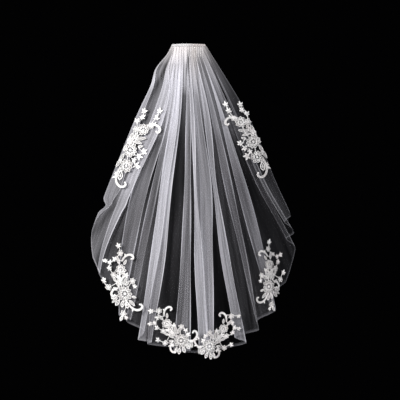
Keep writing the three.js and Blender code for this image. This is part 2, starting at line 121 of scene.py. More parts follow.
# How dense the net looks in each panel between two fold lines, at these distances down, in
# hundredths. A plain single layer is about 3, and a panel with fine pleats in it is many times that.
DENSITY_DOWN = [0, 25, 60, 150, 280, 400, 550, 750]
PANEL_DENSITY = [
    [60, 22, 60, 46, 28, 16, 14, 12],
    [150, 60, 14, 20, 20, 15, 11, 9],
    [250, 190, 56, 32, 27, 36, 30, 22],
    [250, 200, 58, 28, 5, 9, 5, 6],
    [250, 210, 72, 40, 2.5, 5, 6, 8],
    [250, 200, 72, 34, 2, 1.8, 5, 5],
    [240, 190, 72, 42, 15, 4, 2.5, 2],
    [230, 170, 66, 34, 9, 8, 9, 3],
    [220, 180, 95, 74, 46, 32, 23, 20],
    [220, 180, 88, 48, 22, 34, 27, 13],
    [210, 150, 80, 34, 16, 33, 28, 10],
    [220, 160, 42, 4.5, 1.8, 1.6, 3, 3.4],
    [180, 105, 78, 30, 19, 17, 13, 11],
    [180, 100, 62, 16, 8, 4, 1.5, 1],
    [170, 100, 78, 44, 38, 42, 30, 30],
    [160, 90, 58, 16, 19, 22, 13, 12],
    [160, 90, 44, 9, 3, 2, 14, 32],
    [140, 80, 45, 28, 7, 3, 0.8, 0.5],
    [130, 70, 40, 25, 30, 36, 30, 26],
    [120, 60, 32, 20, 6, 4.5, 4, 4],
    [110, 58, 32, 5, 5, 9, 8, 5],
    [100, 56, 28, 16, 5, 3, 4, 4],
    [100, 56, 36, 26, 18, 14, 18, 14],
    [100, 56, 40, 26, 5, 1.6, 1.6, 2],
    [90, 50, 24, 1.5, 1.2, 1.6, 1.6, 2],
    [80, 45, 16, 1.5, 1.2, 1.6, 1.6, 2],
    [60, 36, 14, 4, 4, 4, 3, 3],
    [40, 20, 13, 6, 7, 9, 4, 3],
]

# How strongly each fold line shows, in hundredths
LINE_STRENGTH = [
    0, 16, 48, 20, 28, 64, 12, 26, 18, 62, 42, 14, 34, 26, 16, 32, 22, 8, 28, 13, 14, 12, 9, 16, 12,
    12, 17, 12, 0,
]

# Shaded grooves in the gathers, painted as thinner net, and thick strands: X at the top, drift for
# each millimetre down, half width, share of the net taken away there as painted shade (less than zero
# for a thick strand), first and last down
SHADE_GROOVES_AND_STRANDS = [
    [5.0, -0.12, 4.2, 0.72, 0, 120],
    [-35.0, -0.455, 5.0, 0.8, 35, 190],
    [-41.5, -0.12, 3.0, 0.6, 80, 300],
    [20.5, 0.06, 2.4, 0.5, 50, 230],
    [20.5, 0.255, 3.0, 0.45, 30, 240],
    [-46.0, -0.48, 7.0, -1.8, 20, 140],
    [-12.0, -0.14, 5.0, -0.5, 60, 300],
    [-28.0, -0.13, 3.0, 0.4, 50, 260],
    [48.0, 0.34, 3.0, 0.4, 40, 220],
    [170.0, -0.82, 12.0, 0.5, 425, 575],
]
GROOVE_FADE = 45.0

# A crease shows as a bright line this wide, and a cut edge as a narrow hem line
CREASE_WIDTH = 1.4
CREASE_DOWN = 220.0
CREASE_START = 0.2
CREASE_LEAST = 0.15
CREASE_GAIN = 0.75
EDGE_WIDTH = 1.9
EDGE_GAIN = 0.14
WING_GAIN = 5.0
WING_LINES = 4

# Net scatters light, so its folds are shaded part of the way like the smooth bell, and wholly
# where the gathers are fine
SOFTNESS = 0.6
SOFT_DOWN = [120.0, 320.0]

# The beige blush below the header: its middle and its reach across and down
BLUSH_X = 16.0
BLUSH_WIDTH = 17.0
BLUSH_DOWN = 80.0
BLUSH_TOP = 0.75
BLUSH_TOP_DOWN = 55.0

# Mesh of the cloth, with its rows closer together near the header
STEPS_PER_FOLD = 16
ROWS_DOWN = 116
ROW_CROWDING = 1.15
CLOTH_TOP = HEADER_HEIGHT + PIECE_GAP

# How far down the width of each panel is measured for the net
NET_ROW = 550.0

# Fine gathers below the header
GATHERS_PER_FOLD = 3
GATHER_DEPTH = 0.3
GATHER_FADE = 60.0
GATHER_UNEVEN = 1.7
GATHER_DRIFT = 2.3

# Soft waves in the wide panels: height, turn for each fold line, turn for each millimetre down,
# and start. They and a sway to the side grow from nothing over the first stretch down.
PANEL_WAVES = [[1.0, 5.1, 0.006, 0.0], [0.6, 9.7, -0.009, 1.0]]
WAVE_DEPTH = 1.3
WAVE_GROWTH = 400
SWAY_WIDTH = 0.8
SWAY_TURN = 1.9
SWAY_FALL = 0.021
SWAY_GROWTH = 300

# Motifs of the lace round the main rosette: kind, x, z, turn in degrees, size, which is less
# than zero for a scroll that curls to the right. A stem ties each one to the nearest before it.
CORNER_SPRAY = [
    ("rosette", 0, 0, 0, 22),
    ("rosette", -12, 69, 30, 15),
    ("flower", 22, 37, 10, 9),
    ("tuft", 26, 20, 20, 8),
    ("leaf", -3, 24, 70, 29),
    ("leaf", 2, 23, 52, 18),
    ("leaf", -10, 22, 92, 22),
    ("leaf", -15, 18, 117, 23),
    ("leaf", -21, 10, 146, 15),
    ("tuft", -17, 46, 120, 8.5),
    ("flower", -33, 54, 0, 9),
    ("tuft", -44, 70, 110, 9),
    ("tuft", -44, 87, 80, 8),
    ("tuft", -55, 93, 150, 8),
    ("tuft", -27, 97, 140, 8),
    ("leaf", -16, 84, 106, 25),
    ("flower", -13, 116, 0, 9),
    ("leaf", -3, 83, 62, 16),
    ("leaf", -4, 44, 84, 18),
    ("leaf", -25, 34, 122, 17),
    ("flower", -14, 38, 20, 10),
    ("tuft", 3, 50, 60, 8),
    ("flower", -47, 18, 0, 9),
    ("tuft", -60, 35, 110, 9),
    ("scroll", -8, 93, 70, -56),
    ("bud", -15, -17, 236, 20),
    ("bud", -5, -19, 262, 20),
    ("leaf", -21, -11, 224, 22),
]
SIDE_TAIL = [
    ("tuft", -18, 135, 115, 9),
    ("scroll", -19, 16, 186, 46),
    ("bud", -22, -5, 208, 19),
    ("bud", 4, -20, 283, 22),
    ("leaf", 12, -18, 318, 24),
    ("leaf", 20, -7, 342, 14),
    ("flower", -4, -57, 0, 10),
    ("bud", -6, -62, 246, 16),
    ("tuft", 4, -66, 290, 7),
    ("scroll", 10, -26, -64, 68),
]
BOTTOM_TAIL = [
    ("tuft", -33, 126, 145, 9),
    ("scroll", -20, 12, 196, 60),
    ("tuft", -27, 1, 190, 7),
    ("bud", 6, -18, 286, 18),
    ("leaf", 14, -15, 274, 20),
    ("leaf", 27, -15, 250, 24),
    ("leaf", 20, -12, 322, 18),
    ("tuft", 25, 4, 10, 9),
    ("scroll", 21, -17, -16, 62),
]
TALL_SPRAY = [
    ("rosette", -3, 0, 0, 20),
    ("rosette", 8, -44, 36, 18),
    ("rosette", -39, 56, 15, 15.5),
    ("flower", -19, 57, 10, 10),
    ("tuft", -20, 78, 115, 9),
    ("tuft", -34, 89, 140, 9),
    ("tuft", -40, 105, 105, 9),
    ("flower", -60, 67, 0, 8.5),
    ("tuft", -73, 86, 120, 10),
    ("tuft", -82, 104, 100, 9),
    ("scroll", -50, 68, 160, 60),
    ("leaf", -15, 31, 178, 32),
    ("leaf", -12, 24, 194, 24),
    ("leaf", -24, 47, -52, 26),
    ("leaf", -12, 48, -60, 28),
    ("flower", -4, 26, 20, 9),
    ("tuft", -25, -17, 200, 10),
    ("tuft", -38, -6, 150, 10),
    ("tuft", -12, -25, 250, 9),
    ("tuft", -17, -42, 190, 12),
    ("leaf", -24, 9, 172, 14),
    ("leaf", 14, -10, -58, 24),
    ("leaf", 22, -24, -58, 27),
    ("leaf", -4, 37, -66, 22),
    ("leaf", 8, 14, -66, 18),
    ("bud", 22, -56, -81, 27),
    ("tuft", 35, -62, -75, 7),
    ("scroll", 24, -48, -50, -88),
]

# Name, motifs, place of the main rosette, turn, and width and height of the pattern
SPRAYS = [
    ("lace_upper_left", TALL_SPRAY, -170, -305, 0, -1.06, 1.04),
    ("lace_upper_right", TALL_SPRAY, 189, -281, 0, 1.0, 1.0),
    ("lace_side_left", CORNER_SPRAY + SIDE_TAIL, -182, -716, 0, 1.0, 1.0),
    ("lace_side_right", CORNER_SPRAY + SIDE_TAIL, 230, -696, 6, -0.76, 0.92),
    ("lace_bottom_left", CORNER_SPRAY + BOTTOM_TAIL, -21, -848, 30, 0.92, 0.9),
    ("lace_bottom_right", CORNER_SPRAY + BOTTOM_TAIL, 60, -864, -30, -0.84, 0.9),
]

# How the lace lies on the folds: how far it stands off their fronts, how far aside it feels them,
# and over what reach it evens them out
LACE_OFF = 1.2
LACE_REACH = 14.0
LACE_MEAN = 13.0
MEAN_TAIL = 3
SEAT_X = (-340, 360)
SEAT_DOWN = (120, 930)
SEAT_STEP = 4.0
SEAT_STEPS_PER_FOLD = 12
JUST_INSIDE = 1.001

# A pad of satin stitch, from its outline up: share of the outline, and share of the height
PAD_RINGS = ((1.0, 0.0), (0.93, 0.7), (0.6, 1.0))

# Leaves: width at no length, how it grows with length, and shares of length or width
LEAF_WIDTH = 4.0
LEAF_WIDENING = 0.15
LEAF_BLUNT = 0.85
BLADE_START = 0.07
BLADE_LENGTH = 0.86
BLADE_WIDTH = 0.7
SPINE_END = 0.8
SPINE_BEND = 0.06
VEIN_SPACING = 7
VEIN_LEAN = 0.14
VEIN_REACH = 0.36

# Buds: shares of the length, and the seed's and the bars' shares
BUD_WIDTH = 0.46
SEED_START = 0.3
SEED_LENGTH = 0.5
SEED_WIDTH = 0.4
BUD_BARS = (0.28, 0.55, 0.85)
BAR_REACH = 0.42

# Flowers: how petals stray, where they are widest, and how much every other one is lifted
PETAL_STRAY = 0.08
PETAL_LENGTHS = (0.9, 1.1)
PETAL_BELLY = 0.6
PETAL_LIFT = 0.25
VEIN_SHARES = (0.0, 0.2, 0.4)

# Rosettes: petals and spokes of a small and a large one, and shares of the radius
LARGE_ROSETTE = 20
SMALL_COUNTS = (9, 6)
LARGE_COUNTS = (11, 8)
SPOKE_SHARES = (0.1, 0.3, 0.45)
SPOKE_SHIFT = 0.3
PETAL_START = 0.42
RING_SHARE = 0.45
EYE_SHARE = 0.17
EYE_KNOTS = 0.13
PETAL_KNOTS = 0.62

# Tufts: turn and length of each leaf, and how they stray
TUFT_LEAVES = ((-2.0, 0.65), (-0.85, 1.0), (0.0, 1.3), (0.85, 1.05), (2.0, 0.6))
LEAFLET_WIDTH = 0.42
TUFT_START = 0.12
TUFT_STRAY = 0.2
TUFT_LENGTHS = (0.88, 1.1)

# Scrolls: steps, turning at the start and how it grows, step at the start and how it shrinks
SCROLL_STEPS = 8
SCROLL_FINE = 4
SCROLL_TURNING = (0.25, 0.9)
SCROLL_STRIDE = (1.25, 0.62)
SCROLL_WIDTH = (1.3, 1.2)
SCROLL_SWELL = (0.05, 0.8)
SCROLL_LEAF = 0.15

# Stems: bend as a share of the length, start as a share of the flower's radius, least length
STEM_STRAY = 0.12
STEM_START = 0.8
STEM_LEAST = 2

# Fine pleats of the header: count, depth, unevenness, and the pinch at the upper stitches
HEADER_PLEATS = 56
STEPS_PER_PLEAT = 6
HEADER_ROWS = 9
PLEAT_DEPTH = 0.45
PLEAT_ROOM = 0.55
PLEAT_STRAY = 0.6
PLEAT_WAVES = 40
PINCH_DEPTH = 0.3
PINCH_PLACE = 0.3
PINCH_REACH = 0.12
ROUND_START = 0.08
ROUND_SHARE = 0.84

# Running stitches of the header: how far down, how many, and where one starts and ends
STITCH_ROWS = (2.6, 4.6)
STITCH_COUNT = 34
STITCH_START = 0.15
STITCH_END = 0.75
STITCH_RADII = [0.15, 0.28, 0.32, 0.28, 0.15]
STITCH_OUT = 0.1

# Mesh of the comb, how square its spine is, and how its teeth end
SPINE_SIDES = 12
SPINE_STATIONS = 33
SPINE_ENDS = (0.7, 0.92, 1.0)
SPINE_SQUARE = 0.6
TOOTH_SIDES = 8
TOOTH_ROWS = 9
TOOTH_TAPER = 0.5
TIP_START = 0.9
TIP_FALL = 9.5
TIP_LEAST = 0.05
TOOTH_SUNK = 1

# The net: cells to a metre, width of a thread, its density and that of the holes, and the least
# that streaks and creases come down to
NET_SCALE = 700.0
THREAD_WIDTH = 0.12
THREAD_GAIN = 0.18
THREAD_BASE = 0.93
STREAK_LEAST = 0.22
FADING_LEAST = 0.3

# The lace's whiteness, painted darker and warmer to the right and lower down as a cream tint and as
# painted shade, and the height where cords stand clear of the painted shade that greys the lace
# between them
LACE_SHADE = 0.95
LACE_SHADE_X = 1.25
LACE_SHADE_Z = 0.6
LACE_SHADE_CLEAR = 1.5

# Where the header turns beige, and how fast, in metres, and how its streaks are drawn out
BEIGE_START = 0.008
BEIGE_RISE = 40.0
HEADER_STRETCH = (1.0, 1.0, 0.08)

# Colours
NET_WHITE = (0.72, 0.714, 0.772, 1)
NET_BEIGE = (0.64, 0.59, 0.57, 1)
# cream tint, darkened as painted shade
LACE_CREAM_AND_SHADE = (0.80, 0.76, 0.75, 1)
LACE_WHITE = (1.0, 0.995, 0.985, 1)
# painted shade that greys the lace deep between its cords
LACE_PAINTED_SHADE = (0.24, 0.23, 0.225, 1)
HEADER_WHITE = (0.62, 0.615, 0.62, 1)
HEADER_BEIGE = (0.50, 0.46, 0.45, 1)
THREAD_BEIGE = (0.70, 0.66, 0.64, 1)
THREAD_WHITE = (0.95, 0.93, 0.91, 1)
COMB_DARK = (0.80, 0.78, 0.73, 1)
COMB_PALE = (0.90, 0.885, 0.85, 1)
COMB_SCUFF = 0.18
COMB_ROUGHNESS = 0.18
FLOOR_DARK = (0.55, 0.55, 0.56, 1)
FLOOR_PALE = (0.60, 0.60, 0.61, 1)

# The photograph's view
VIEW_WIDTH = 1146.0
VIEW_CENTRE = (33.0, -448.0)
VIEW_DISTANCE = 14.0
SENSOR = 36.0

# Studio lights, in metres and watts: name, place, target, size, power, colour if not white
VEIL_MIDDLE = (0, -0.05, -0.45)
LIGHTS = [
    ("key_light", (-1.9, -2.4, 0.6), VEIL_MIDDLE, 1.0, 102, (1.0, 0.98, 0.97)),
    ("fill_light", (1.9, -2.6, 0.0), VEIL_MIDDLE, 1.6, 38, (0.94, 0.95, 1.0)),
    ("top_light", (0.0, -0.6, 1.6), VEIL_MIDDLE, 1.0, 14),
    ("back_light", (0.4, 2.2, 0.4), VEIL_MIDDLE, 1.4, 30, (0.9, 0.93, 1.0)),
    ("left_light", (-1.15, -0.8, -0.2), (-0.2, 0, -0.4), 0.4, 7.0),
    ("right_light", (1.2, -0.9, 0.1), (0.2, 0, -0.4), 0.4, 4.0),
]
ROOM_COLOUR = (0.0006, 0.0006, 0.0007, 1)
FLOOR_RADIUS = 900
FLOOR_SIDES = 96
FLOOR_Y = -40
FLOOR_Z = -1300


# The form of the cloth

def hermite(a, b, slope_a, slope_b, t):
    """Smooth curve through two values with a slope at each."""
    t2 = t * t
    t3 = t2 * t
    return ((2 * t3 - 3 * t2 + 1) * a + (t3 - 2 * t2 + t) * slope_a
            + (3 * t2 - 2 * t3) * b + (t3 - t2) * slope_b)


def curve(places, value, at):
    """A smooth curve through value(k) at each of the places."""
    last = len(places) - 1
    k = np.clip(np.searchsorted(places, at) - 1, 0, last - 1)
    before = np.maximum(k - 1, 0)
    after = np.minimum(k + 2, last)
    span = places[k + 1] - places[k]
    slope_here = (value(k + 1) - value(before)) / (places[k + 1] - places[before]) * span
    slope_next = (value(after) - value(k)) / (places[after] - places[k]) * span
    return hermite(value(k), value(k + 1), slope_here, slope_next, (at - places[k]) / span)


def hang(column, down):
    """One column of the hang table, read at each distance down."""
    return curve(np.array(HANG_DOWN, float), lambda k: np.array(column, float)[k], down)


def fold_line_x(line, down):
    """X of a fold line, from its place at the header to its places in the table."""
    table = np.array(FOLD_LINES, float)[:, :4]
    lines = np.arange(LAST_LINE + 1)
    fade = np.sin(np.pi * lines / LAST_LINE) ** 0.5
    stray = GATHER_STRAY * np.sin(STRAY_TURN * lines) * fade
    top = HEADER_WIDTH * (lines / LAST_LINE - 0.5) + stray
    knots = np.column_stack([top, table])
    places = LINE_STEP * np.arange(knots.shape[1])
    inside = curve(places, lambda k: knots[line, k], np.minimum(down, places[-1]))
    past = np.maximum(down / LINE_STEP - (len(places) - 1), 0)
    x = inside + (knots[line, -1] - knots[line, -2]) * past
    for place, out, reach, shares in KINKS:
        share = np.interp(line, range(len(shares) + 1), shares + [0])
        x = x - share * out * np.exp(-((down - place) / reach) ** 2)
    return x


def bell_y(x, down):
    """Y of the smooth bell that the cloth is folded about."""
    return hang(HANG_MIDDLE, down) + x * x / (2 * hang(HANG_ROUND, down))


def head_y(x):
    """Y of the header's middle at a place across it."""
    return float(bell_y(x, 0))


def fold_point(line, down):
    """X and Y of a fold line, in front of the bell for even lines and behind it for odd ones."""
    x = fold_line_x(line, down)
    side = np.where(line % 2 == 0, -1, 1)
    return np.array([x, bell_y(x, down) + side * hang(HANG_DEPTH, down)])


def line_slope(line, down):
    """How the cloth runs through a fold line: straight back round a turn, on at a cut edge."""
    first = np.maximum(line - 1, 0)
    leg = fold_point(first + 1, down) - fold_point(first, down)
    edge = (line == 0) | (line == LAST_LINE)
    turn = TURN_ROUNDNESS * hang(HANG_DEPTH, down)
    return np.where(edge, EDGE_STRAIGHTNESS * leg, [0 * turn, turn])


def cloth_point(across, down):
    """X and Y of the cloth. across counts fold lines from the left edge."""
    across, down = np.broadcast_arrays(np.asarray(across, float), np.asarray(down, float))
    line = np.minimum(np.floor(across).astype(int), LAST_LINE - 1)
    return hermite(fold_point(line, down), fold_point(line + 1, down),
                   line_slope(line, down), line_slope(line + 1, down), across - line)


def hem_down(across):
    """How far down the hem is."""
    marks = sorted([[line, row[4]] for line, row in enumerate(FOLD_LINES)] + HEM_BENDS)
    return np.interp(across, [mark[0] for mark in marks], [mark[1] for mark in marks])


# Meshes

def new_object(name, data):
    obj = bpy.data.objects.new(name, data)
    bpy.context.scene.collection.objects.link(obj)
    return obj


def mesh_object(name, points, faces, smooth=True):
    """A mesh object from points in millimetres."""
    mesh = bpy.data.meshes.new(name)
    mesh.from_pydata((np.asarray(points, float) * MM).tolist(), [], faces)
    mesh.polygons.foreach_set("use_smooth", [smooth] * len(mesh.polygons))
    mesh.update()
    return new_object(name, mesh)


def store(obj, name, values):
    """A number kept at each point of a mesh, for its material."""
    attribute = obj.data.attributes.new(name, "FLOAT", "POINT")
    attribute.data.foreach_set("value", np.asarray(values, np.float32).ravel())


def store_uv(obj, u, v):
    """A UV map from two numbers for each point."""
    layer = obj.data.uv_layers.new(name="cut")
    loops = np.empty(len(obj.data.loops), int)
    obj.data.loops.foreach_get("vertex_index", loops)
    layer.data.foreach_set("uv", np.column_stack([u, v])[loops].astype(np.float32).ravel())


class Solid:
    """Points and faces gathered from many small pieces."""

    def __init__(self):
        self.points = []
        self.faces = []

    def add(self, points, faces):
        start = len(self.points)
        self.points.extend(points)
        self.faces.extend(tuple(start + i for i in face) for face in faces)

    def strip(self, one, other):
        """Quads between two lists of point numbers."""
        self.faces.extend(zip(one, one[1:], other[1:], other))

    def grid(self, points, rows, columns, closed=False):
        """Quads over rows of points, closed round each row for a tube."""
        numbers = (len(self.points) + np.arange(rows * columns)).reshape(rows, columns).tolist()
        self.points.extend(points)
        for one, other in zip(numbers, numbers[1:]):
            self.strip(one + one[:closed], other + other[:closed])
        return numbers


# The tulle

def net_across(across):
    """Distance along the cloth from its left edge."""
    lines = np.arange(LAST_LINE + 1)
    legs = np.hypot(*np.diff(fold_point(lines, NET_ROW)))
    return np.interp(across, lines, np.concatenate([[0], np.cumsum(legs)]))


def soften(cloth, x, down):
    """Turns the normals of the folds part of the way to those of the bell."""
    count = len(cloth.data.vertices)
    own = np.empty(count * 3, np.float32)
    cloth.data.vertex_normals.foreach_get("vector", own)
    own = own.reshape(-1, 3)
    fall = bell_y(x, down + 1) - bell_y(x, down)
    bell = np.column_stack([x / hang(HANG_ROUND, down), -np.ones(count), -fall])
    bell /= np.linalg.norm(bell, axis=1)[:, None]
    side = np.sign((own * bell).sum(1))
    soft = np.interp(down, SOFT_DOWN, [1.0, SOFTNESS])[:, None]
    mixed = own * (1 - soft) + bell * side[:, None] * soft
    mixed /= np.linalg.norm(mixed, axis=1)[:, None]
    cloth.data.normals_split_custom_set_from_vertices(mixed.tolist())


def cloth_grid():
    """Across and down for each point of the cloth's mesh, and each column's hem."""
    half_turn = np.pi * np.arange(STEPS_PER_FOLD) / STEPS_PER_FOLD
    shares = (1 - np.cos(half_turn)) / 2
    across = np.concatenate([line + shares for line in range(LAST_LINE)] + [[LAST_LINE]])
    part = (np.arange(ROWS_DOWN + 1) / ROWS_DOWN) ** ROW_CROWDING
    hem = hem_down(across)[:, None]
    return np.repeat(across[:, None], len(part), 1), CLOTH_TOP + (hem - CLOTH_TOP) * part, hem


def waved(u, x, y, down):
    """The cloth with fine gathers below the header and soft waves in its wide panels."""
    phase = 2 * np.pi * GATHERS_PER_FOLD * u + GATHER_UNEVEN * np.sin(u * GATHER_DRIFT)
    y = y + GATHER_DEPTH * np.exp(-down / GATHER_FADE) * np.sin(phase)
    wave = sum(height * np.sin(u * turn + down * fall + start)
               for height, turn, fall, start in PANEL_WAVES)
    y = y + WAVE_DEPTH * wave * np.clip(down / WAVE_GROWTH, 0, 1)
    sway = np.sin(down * SWAY_FALL + u * SWAY_TURN)
    return x + SWAY_WIDTH * sway * np.clip(down / SWAY_GROWTH, 0, 1), y


def net_density(line, x, down):
    """How dense the net is: gathered solid at the header, pleated in some panels, thinned along
    grooves as painted shade, and thickened along strands.
    """
    density = np.empty(x.shape)
    for k, row in enumerate(PANEL_DENSITY):
        here = line == k
        density[here] = np.interp(down[here], DENSITY_DOWN, row)
    # painted shade: the net is thinned along the shaded grooves, and thickened along the strands
    for start, drift, half, share, first, last in SHADE_GROOVES_AND_STRANDS:
        groove_shade = np.exp(-((x - start - drift * down) / half) ** 2)
        groove_shade *= np.clip((down - first) / GROOVE_FADE, 0, 1)
        groove_shade *= np.clip((last - down) / GROOVE_FADE, 0, 1)
        density *= 1 - share * groove_shade
    return density / HUNDREDTHS


def build_cloth():
    """The whole sheet of tulle, pleated from the header to the hem."""
    u, down, hem = cloth_grid()
    x, y = waved(u, *cloth_point(u, down), down)
    sheet = Solid()
    sheet.grid(np.stack([x, y, -down], -1).reshape(-1, 3), *u.shape)
    cloth = mesh_object("tulle_cloth", sheet.points, sheet.faces)
    line = np.minimum(np.floor(u).astype(int), LAST_LINE - 1)
    density = net_density(line, x, down)
    store(cloth, "net_density", density)

    # nearness to a fold line
    left = cloth_point(line, down)
    right = cloth_point(line + 1, down)
    strength = np.array(LINE_STRENGTH) / HUNDREDTHS
    fade_in = np.clip(down / CREASE_DOWN - CREASE_START, CREASE_LEAST, 1)
    sides = []
    for line_x, power in ((left[0], strength[line]), (right[0], strength[line + 1])):
        gain = power + CREASE_GAIN * density
        sides.append(fade_in * gain * np.exp(-((x - line_x) / CREASE_WIDTH) ** 2))
    store(cloth, "crease", np.maximum(*sides))

    # nearness to a cut edge, brighter on the left wing
    leg = np.hypot(*(right - left))
    edge = np.minimum(hem - down, np.minimum(u, LAST_LINE - u) * leg)
    wing = np.clip(1 - u / WING_LINES, 0, 1)
    gain = EDGE_GAIN * (1 + (WING_GAIN - 1) * wing)
    store(cloth, "edge", gain * np.exp(-(edge / EDGE_WIDTH) ** 2))

    blush = np.exp(-((x - BLUSH_X) / BLUSH_WIDTH) ** 2 - (down / BLUSH_DOWN) ** 2)
    cream = BLUSH_TOP * np.exp(-(down / BLUSH_TOP_DOWN) ** 2)
    store(cloth, "blush", np.maximum(blush, cream))
    soften(cloth, x.ravel(), down.ravel())
    store(cloth, "across", u)
    store(cloth, "down", down)
    store_uv(cloth, (net_across(u) * MM).ravel(), (down * MM).ravel())
    return cloth


# The seat of the lace

def build_seat():
    """How far the lace's seat is from the bell, as a grid over X and down."""
    xs = np.arange(*SEAT_X, SEAT_STEP)
    downs = np.arange(*SEAT_DOWN, SEAT_STEP)
    across = np.linspace(0, LAST_LINE, LAST_LINE * SEAT_STEPS_PER_FOLD + 1)
    hem = hem_down(across)
    front = np.zeros((len(xs), len(downs)))
    for j, down in enumerate(downs):
        x, y = cloth_point(across, np.minimum(down, hem))
        out = y - bell_y(x, np.minimum(down, hem))
        for k in range(len(across) - 1):
            ends = x[k:k + 2]
            near = (xs >= ends.min() - LACE_REACH) & (xs <= ends.max() + LACE_REACH)
            front[near, j] = np.minimum(front[near, j], out[k:k + 2].min())
    reach = int(MEAN_TAIL * LACE_MEAN / SEAT_STEP)
    steps = np.arange(-reach, reach + 1) * SEAT_STEP
    kernel = np.exp(-(steps / LACE_MEAN) ** 2)
    kernel /= kernel.sum()
    smooth = np.pad(front, reach, mode="edge")
    for axis in (0, 1):
        smooth = np.apply_along_axis(lambda row: np.convolve(row, kernel, "valid"), axis, smooth)
    return xs, downs, smooth


SEAT = build_seat()


def seat_y(x, z):
    """Y of the lace's seat at places of X and Z."""
    xs, downs, front = SEAT
    down = -z
    i = np.clip((x - xs[0]) / SEAT_STEP, 0, len(xs) - JUST_INSIDE)
    j = np.clip((down - downs[0]) / SEAT_STEP, 0, len(downs) - JUST_INSIDE)
    i0 = i.astype(int)
    j0 = j.astype(int)
    fi = i - i0
    fj = j - j0
    value = sum(front[i0 + a, j0 + b] * abs(1 - a - fi) * abs(1 - b - fj)
                for a, b in ((0, 0), (1, 0), (0, 1), (1, 1)))
    return bell_y(x, down) + value - LACE_OFF


# Lace motifs, flat with a height over the cloth

def teardrop(length, width, blunt, steps=7):
    """Outline of a petal or leaf from its base at the origin along +X."""
    points = []
    for k in range(steps + 1):
        t = k / steps
        points.append((length * t, width / 2 * math.sin(math.pi * t ** blunt)))
    lower = [(x, -y) for x, y in points[1:-1]]
    return points + lower[::-1]


def moved(points, start, turn):
    """Flat points turned and moved to a start."""
    c, s = math.cos(turn), math.sin(turn)
    return [(start[0] + x * c - y * s, start[1] + x * s + y * c) for x, y in points]


def ring(x, z, radius, count):
    """Points of a circle."""
    turns = np.linspace(0, 2 * math.pi, count, endpoint=False)
    return [(x + radius * math.cos(a), z + radius * math.sin(a)) for a in turns]


def dome(solid, rings, top, bottom):
    """Rings of points from the bottom up, closed with a point at each end."""
    sides = len(rings[0])
    last = sides * (len(rings) - 1)
    faces = []
    for s in range(sides):
        d = (s + 1) % sides
        for low in range(0, last, sides):
            faces.append((low + s, low + d, low + sides + d, low + sides + s))
        faces.append((last + s, last + d, last + sides))
        faces.append((d, s, last + sides + 1))
    solid.add([point for row in rings for point in row] + [top, bottom], faces)


def pad(solid, outline, height, base=0.0):
    """A pillow on a closed outline: a rounded top and a flat underside."""
    outline = np.array(outline, float)
    middle = outline.mean(0)
    rings = [[(x, z, base + height * rise) for x, z in middle + (outline - middle) * share]
             for share, rise in PAD_RINGS]
    dome(solid, rings, (*middle, base + height), (*middle, base))


def along(path, closed=False):
    """The direction of a path at each of its points."""
    ahead = np.roll(path, -1, 0) - np.roll(path, 1, 0) if closed else np.gradient(path, axis=0)
    return ahead / np.maximum(np.linalg.norm(ahead, axis=1), TINY)[:, None]


def tube(solid, points, rows, sides, closed=False):
    """A tube over rows of points, with a face at each end or closed to a ring."""
    numbers = solid.grid(points, rows, sides, closed=True)
    if closed:
        solid.strip(numbers[-1] + numbers[-1][:1], numbers[0] + numbers[0][:1])
    else:
        solid.faces.extend((numbers[0][::-1], numbers[-1]))


def cord(solid, path, radius, height, sides=6, closed=False, flat=1.0):
    """A cord along a flat path, round or flattened. radius is a number or one for each point."""
    path = np.array(path, float)
    ahead = along(path, closed)
    angles = -2 * np.pi * np.arange(sides) / sides
    radii = np.broadcast_to(radius, len(path))
    side = np.outer(radii, np.cos(angles))
    x = path[:, :1] - ahead[:, 1:] * side
    z = path[:, 1:] + ahead[:, :1] * side
    up = height + flat * np.outer(radii, np.sin(angles))
    tube(solid, np.stack([x, z, up], -1).reshape(-1, 3), len(path), sides, closed)


def knot(solid, x, z, radius, height, sides=7):
    """A small round knot of thread."""
    rings = []
    for share in (0.75, 0.5, 0.25):
        angle = math.pi * share
        circle = ring(x, z, radius * math.sin(angle), sides)
        rings.append([(*at, height + radius * math.cos(angle)) for at in circle])
    dome(solid, rings, (x, z, height + radius), (x, z, height - radius))


def leaf(solid, start, turn, length):
    """A leaf: a corded rim round a thin blade with veins."""
    width = LEAF_WIDTH + LEAF_WIDENING * length
    outline = teardrop(length, width, LEAF_BLUNT)
    cord(solid, moved(outline, start, turn), radius=0.85, height=1.0, closed=True)
    blade = [(length * BLADE_START + x * BLADE_LENGTH, z * BLADE_WIDTH) for x, z in outline]
    pad(solid, moved(blade, start, turn), height=0.45)
    steps = np.linspace(0.0, SPINE_END, 6)
    spine = [(length * t, width * SPINE_BEND * math.sin(3 * t)) for t in steps]
    cord(solid, moved(spine, start, turn), radius=np.linspace(0.6, 0.35, 6), height=1.0, sides=5)
    veins = max(2, int(length / VEIN_SPACING))
    for k in range(veins):
        t = (k + 0.6) / (veins + 0.7)
        for side in (-1, 1):
            vein = [(length * t, 0), (length * (t + VEIN_LEAN), side * width * VEIN_REACH)]
            cord(solid, moved(vein, start, turn), radius=0.4, height=0.9, sides=4)


def bud(solid, start, turn, length):
    """A plump open bud: a thick corded rim round holes, with a seed between them."""
    width = length * BUD_WIDTH
    outline = teardrop(length, width, blunt=1.2, steps=9)
    cord(solid, moved(outline, start, turn), radius=1.35, height=1.2, closed=True)
    seed = [(length * SEED_START + x * SEED_LENGTH, z * SEED_WIDTH)
            for x, z in teardrop(length, width, blunt=1.0)]
    pad(solid, moved(seed, start, turn), height=1.3)
    for t in BUD_BARS:
        bar = [(length * t, -width * BAR_REACH), (length * t, width * BAR_REACH)]
        cord(solid, moved(bar, start, turn), radius=0.6, height=1.0, sides=4)


def petal(solid, start, turn, length, width, blunt, base):
    """A petal: a corded rim round a thin web with a short vein."""
    outline = moved(teardrop(length, width, blunt, steps=8), start, turn)
    pad(solid, outline, height=0.25)
    cord(solid, outline, radius=0.8, height=base + 0.5, sides=5, closed=True)
    vein = [(length * t, 0) for t in VEIN_SHARES]
    cord(solid, moved(vein, start, turn), radius=0.5, height=base + 0.7, sides=4)


